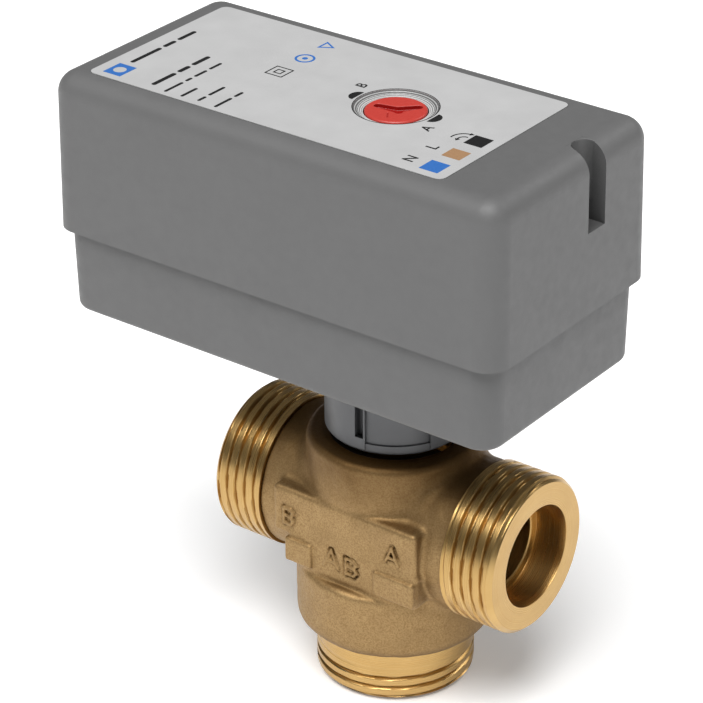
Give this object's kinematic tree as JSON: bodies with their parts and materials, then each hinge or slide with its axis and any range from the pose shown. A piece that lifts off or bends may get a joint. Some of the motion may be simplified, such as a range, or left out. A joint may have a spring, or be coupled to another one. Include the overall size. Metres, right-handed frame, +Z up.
{
  "type": "motorised three-way zone valve",
  "caption": "Three-way brass zone valve with threaded ports and a boxed rotary actuator with a turning position dial.",
  "frame": {"origin": "centre of the end face of port AB, on the stem axis", "axes": "+Z up the stem to the dial, +X along the port axis towards port A, -Y towards the lettered front"},
  "size_m": [0.109, 0.054, 0.1271],
  "materials": {
    "brass_cast": "sandblasted casting with bright machined threads",
    "brass_turned": "machined",
    "seal_white": "smooth PTFE",
    "seal_black": "satin",
    "steel": "zinc plated",
    "housing_grey": "fine moulded texture",
    "adapter_grey": "satin moulded",
    "label_print": "printed satin film",
    "knob_red": "semi-gloss moulded",
    "gear_plastic": "acetal",
    "coil_copper": "enamelled winding",
    "board_green": "solder mask",
    "switch_black": "moulded"
  },
  "bodies": {
    "valve": {"adapter_ring": "adapter_grey", "adapter_screws": "steel", "base_housing": "housing_grey", "board_spacers": "gear_plastic", "bonnet": "brass_turned", "bonnet_o_ring": "seal_black", "circuit_board": "board_green", "cover_housing": "housing_grey", "cover_screws": "steel", "gear_axles": "steel", "gear_plate": "steel", "label": "label_print", "limit_switch_a": "switch_black", "limit_switch_b": "switch_black", "motor_can": "steel", "motor_coil": "coil_copper", "motor_screw": "steel", "plate_posts": "steel", "plate_screws": "steel", "retaining_ring": "steel", "rotor_washer": "seal_white", "seat_ring_a": "seal_white", "seat_ring_b": "seal_white", "terminal_block": "switch_black", "terminal_screws": "steel", "valve_body": "brass_cast"},
    "output": {"valve_rotor": "brass_turned", "stem": "brass_turned", "stem_o_rings": "seal_black", "drive_coupler": "gear_plastic", "output_shaft": "steel", "output_gear": "gear_plastic", "cam_disc": "gear_plastic", "position_knob": "knob_red"},
    "idler_1": {"reduction_gear_1": "gear_plastic"},
    "idler_2": {"reduction_gear_2": "gear_plastic"},
    "motor_drive": {"motor_rotor": "steel", "motor_pinion": "gear_plastic"},
    "lever_a": {"switch_lever_a": "steel"},
    "lever_b": {"switch_lever_b": "steel"}
  },
  "joints": [
    {"name": "output_turn", "type": "hinge", "parent": "valve", "child": "output", "pos_m": [0, 0, 0.079], "axis": [0, 0, 1], "range_deg": [-120, 60]},
    {"name": "idler_1_turn", "type": "hinge", "parent": "valve", "child": "idler_1", "pos_m": [-0.02566, -0.00417, 0.082], "axis": [0, 0, 1], "range_deg": [-201, 401]},
    {"name": "idler_2_turn", "type": "hinge", "parent": "valve", "child": "idler_2", "pos_m": [-0.0361, 0.01195, 0.088], "axis": [0, 0, 1], "range_deg": [-1201, 601]},
    {"name": "motor_turn", "type": "hinge", "parent": "valve", "child": "motor_drive", "pos_m": [-0.043, 0, 0.1], "axis": [0, 0, 1], "range_deg": [-1701, 3401]},
    {"name": "lever_a_press", "type": "hinge", "parent": "valve", "child": "lever_a", "pos_m": [0.0213, 0.00953, 0.1026], "axis": [0, 0, 1], "range_deg": [-6, 0], "stiffness_Nm_per_rad": 0.002},
    {"name": "lever_b_press", "type": "hinge", "parent": "valve", "child": "lever_b", "pos_m": [0.0213, -0.00953, 0.1026], "axis": [0, 0, 1], "range_deg": [0, 6], "stiffness_Nm_per_rad": 0.002}
  ],
  "couplings": [
    {"joint": "idler_1_turn", "follows": "output_turn", "ratio": -3.3333},
    {"joint": "idler_2_turn", "follows": "output_turn", "ratio": 10},
    {"joint": "motor_turn", "follows": "output_turn", "ratio": -28.333}
  ]
}
